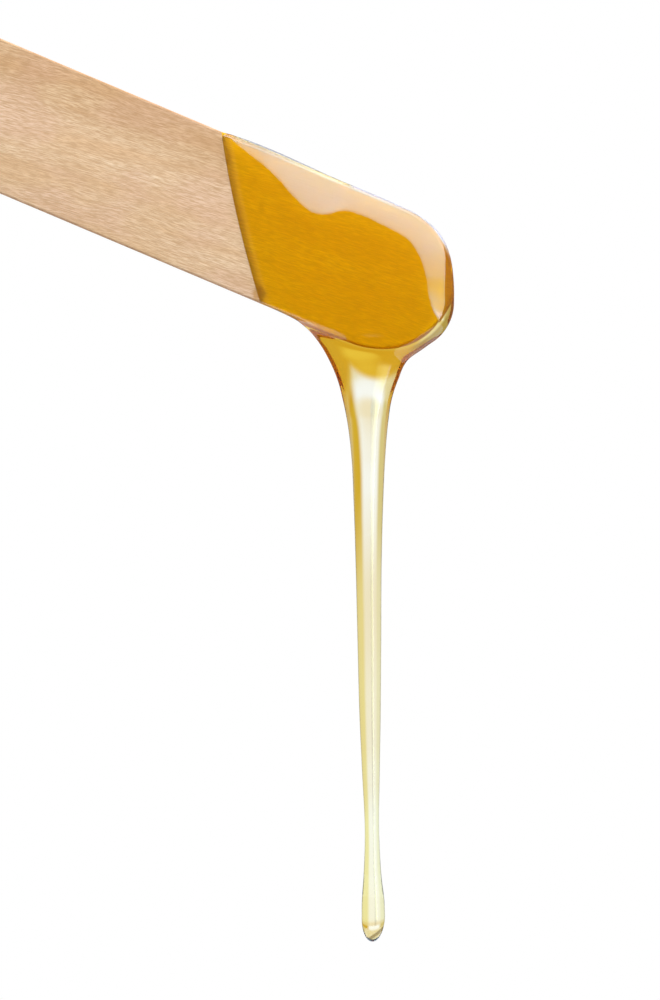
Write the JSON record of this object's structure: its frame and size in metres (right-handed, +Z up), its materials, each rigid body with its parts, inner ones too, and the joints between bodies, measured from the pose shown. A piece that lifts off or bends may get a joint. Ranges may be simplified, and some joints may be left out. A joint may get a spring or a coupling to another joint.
{
  "type": "waxing spatula",
  "caption": "Flat wooden waxing spatula with round ends, its blade coated in warm honey wax that runs off in a thin strand ending in a drop.",
  "frame": {"origin": "on the front broad face of the handle, on its centre line, where finger and thumb hold it, 30 mm from the handle's tip", "axes": "+Z up, +X to the right along the level towards the blade, +Y from the front broad face through to the back face; the blade points 22.9 degrees below +X and the wax strand hangs along -Z"},
  "size_m": [0.1403, 0.0044, 0.1441],
  "materials": {
    "birch_wood": "bare sanded birch, fine grain along the stick",
    "honey_wax": "clear amber, wet gloss, see-through",
    "thin_wax": "clear pale yellow where it is thin, wet gloss"
  },
  "bodies": {
    "spatula": {"wooden_spatula": "birch_wood", "wax_front_film": "honey_wax", "wax_back_film": "honey_wax", "wax_edge_bead": "honey_wax", "wax_funnel": "honey_wax"},
    "hanging_wax": {"wax_strand": "thin_wax", "wax_drop": "thin_wax"}
  },
  "joints": [
    {"name": "strand_sway", "type": "hinge", "parent": "spatula", "child": "hanging_wax", "pos_m": [0.1008, 0.0008, -0.06619], "axis": [0, 1, 0], "range_deg": [-10, 10]}
  ]
}
